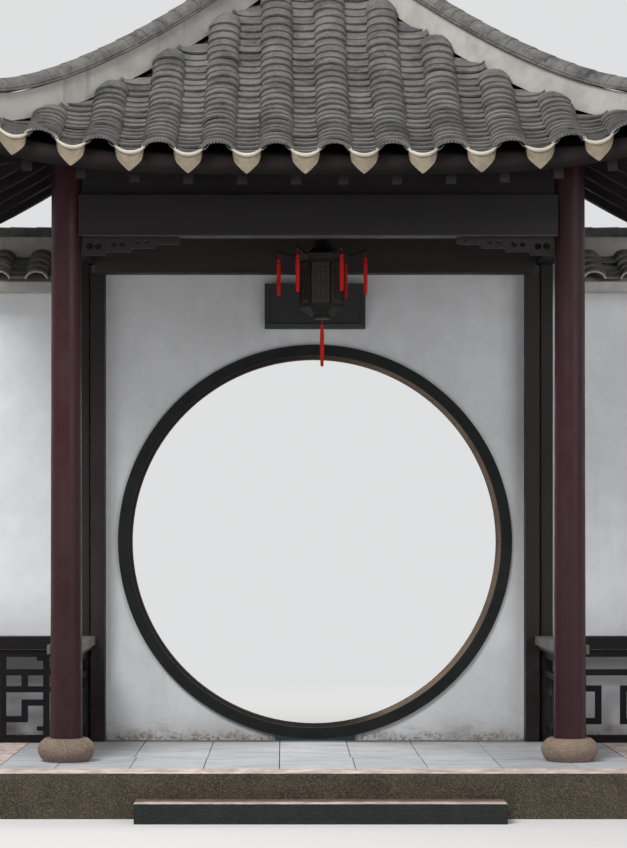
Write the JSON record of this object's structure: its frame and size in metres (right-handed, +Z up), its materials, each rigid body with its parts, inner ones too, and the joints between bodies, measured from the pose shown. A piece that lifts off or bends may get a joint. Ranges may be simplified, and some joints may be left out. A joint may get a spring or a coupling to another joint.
{
  "type": "moon gate with half pavilion",
  "caption": "White garden wall with a round walk-through opening in a dark ring, and a half pavilion porch with columns, benches, hipped tile roof and hanging lantern.",
  "frame": {"origin": "under the middle of the gate wall, at ground level", "axes": "+X along the wall, -Y out of the front where the porch stands, +Z up"},
  "size_m": [5.3, 2.66, 4.5672],
  "materials": {
    "white_plaster": "weathered lime plaster over brick, stained at the foot",
    "dark_brick": "dark grey rubbed brick, matt",
    "pale_lining": "pale stone facing with fine joints",
    "green_stone": "dull teal-green stone",
    "paving_stone": "grey paving slabs, worn",
    "step_stone": "rough brown-grey step stone",
    "base_stone": "grey column base stone",
    "maroon_lacquer": "dark maroon lacquer, dull sheen",
    "dark_timber": "near-black brown lacquered timber",
    "lattice_timber": "near-black lacquered lattice",
    "seat_timber": "dark brown seat board with a worn pale edge",
    "roof_boards": "dark roof boards under grey clay tiles",
    "ridge_plaster": "weathered white ridge plaster",
    "roof_tile": "dark grey clay tile",
    "black_board": "near-black lacquered board with a paler edge",
    "lantern_timber": "dark rosewood",
    "lantern_glass": "dull grey-green panes",
    "red_thread": "bright red silk thread",
    "dark_iron": "dark iron wire"
  },
  "bodies": {
    "gate": {"platform": "paving_stone", "front_edge_stone": "step_stone", "side_edge_stones": "step_stone", "side_plinths": "step_stone", "lower_step": "step_stone", "back_step": "step_stone", "gate_wall": "white_plaster", "left_wall": "white_plaster", "right_wall": "white_plaster", "wall_copings": "roof_tile", "ring_lining": "pale_lining", "front_ring": "dark_brick", "back_ring": "dark_brick", "ring_sill": "green_stone", "base_stones": "base_stone", "left_column": "maroon_lacquer", "right_column": "maroon_lacquer", "front_beam": "dark_timber", "side_beams": "dark_timber", "frieze_boards": "dark_timber", "front_purlin": "dark_timber", "side_purlins": "dark_timber", "jambs": "maroon_lacquer", "wall_posts": "dark_timber", "wall_beam": "dark_timber", "lantern_bar": "dark_timber", "brackets": "dark_timber", "plaque": "black_board", "side_seats": "seat_timber", "seat_lattices": "lattice_timber", "wall_seats": "seat_timber", "left_wall_lattice": "lattice_timber", "right_wall_lattice": "lattice_timber", "end_posts": "dark_timber", "front_roof": "roof_boards", "left_roof": "roof_boards", "right_roof": "roof_boards", "front_rafters": "dark_timber", "side_rafters": "dark_timber", "hip_rafters": "dark_timber", "hip_ridges": "ridge_plaster", "gable_ridges": "ridge_plaster", "apex_block": "ridge_plaster", "lantern_hook": "dark_iron"},
    "lantern": {"lantern_ring": "dark_iron", "lantern_canopy": "lantern_timber", "lantern_frame": "lantern_timber", "lantern_panes": "lantern_glass", "lantern_base": "lantern_timber", "lantern_tassels": "red_thread"}
  },
  "joints": [
    {"name": "lantern_swing", "type": "hinge", "parent": "gate", "child": "lantern", "pos_m": [0.028, -0.77, 2.898], "axis": [1, 0, 0], "range_deg": [-20, 20]}
  ]
}
